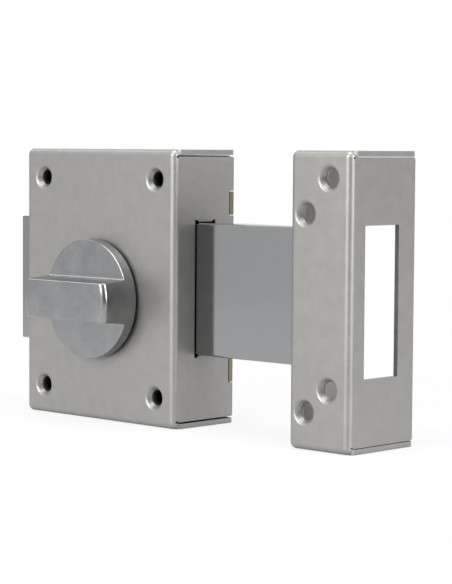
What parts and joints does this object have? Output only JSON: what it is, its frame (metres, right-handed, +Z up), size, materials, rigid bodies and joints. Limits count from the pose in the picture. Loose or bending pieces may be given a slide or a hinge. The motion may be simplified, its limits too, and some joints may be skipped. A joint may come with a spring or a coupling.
{
  "type": "rim bolt lock with strike box",
  "caption": "Surface-mounted door bolt lock: folded steel case, turn knob geared to a flat bolt that slides right through it, and a separate strike box.",
  "frame": {"origin": "centre of the case's four-screw pattern, on the mounting plane at the back of the case", "axes": "+X the way the bolt is thrown, towards the strike; +Y out of the back, into the door; +Z up"},
  "size_m": [0.189, 0.05, 0.105],
  "materials": {
    "satin_paint": "warm grey metallic paint, satin",
    "yellow_zinc": "yellow passivated zinc",
    "satin_cast_metal": "satin plated zinc casting",
    "brushed_bolt_steel": "ground and brushed",
    "zinc_plated_steel": "bright zinc plated",
    "gear_steel": "machined, lightly oiled",
    "spring_steel": "blued",
    "bush_brass": "turned"
  },
  "bodies": {
    "root": {"case_cover": "satin_paint", "back_plate": "yellow_zinc", "screw_sleeves": "zinc_plated_steel", "knob_bush": "bush_brass", "gear_stud": "zinc_plated_steel", "stud_sleeve": "bush_brass", "stop_bracket": "zinc_plated_steel", "upper_bolt_guide": "zinc_plated_steel", "lower_left_guide": "zinc_plated_steel", "lower_right_guide": "zinc_plated_steel", "bolt_spring": "spring_steel", "strike_box": "satin_paint"},
    "knob": {"knob": "satin_cast_metal", "knob_set_screw": "zinc_plated_steel", "knob_spindle": "zinc_plated_steel", "knob_gear": "gear_steel", "spindle_circlip": "spring_steel"},
    "lay_gear": {"lay_gear": "gear_steel", "rack_pinion": "gear_steel"},
    "bolt": {"slide_bolt": "brushed_bolt_steel", "bolt_stop_pin": "zinc_plated_steel"}
  },
  "joints": [
    {"name": "bolt_slide", "type": "slide", "parent": "root", "child": "bolt", "axis": [1, 0, 0], "range_m": [-0.04712, 0]},
    {"name": "knob_turn", "type": "hinge", "parent": "root", "child": "knob", "pos_m": [0, 0, -0.0052], "axis": [0, 1, 0], "range_deg": [0, 180]},
    {"name": "lay_gear_turn", "type": "hinge", "parent": "root", "child": "lay_gear", "pos_m": [-0.01244, 0, -0.0325], "axis": [0, 1, 0], "range_deg": [-300, 0]}
  ],
  "couplings": [
    {"joint": "knob_turn", "follows": "bolt_slide", "rad_per_m": -66.667},
    {"joint": "lay_gear_turn", "follows": "bolt_slide", "rad_per_m": 111.11}
  ]
}
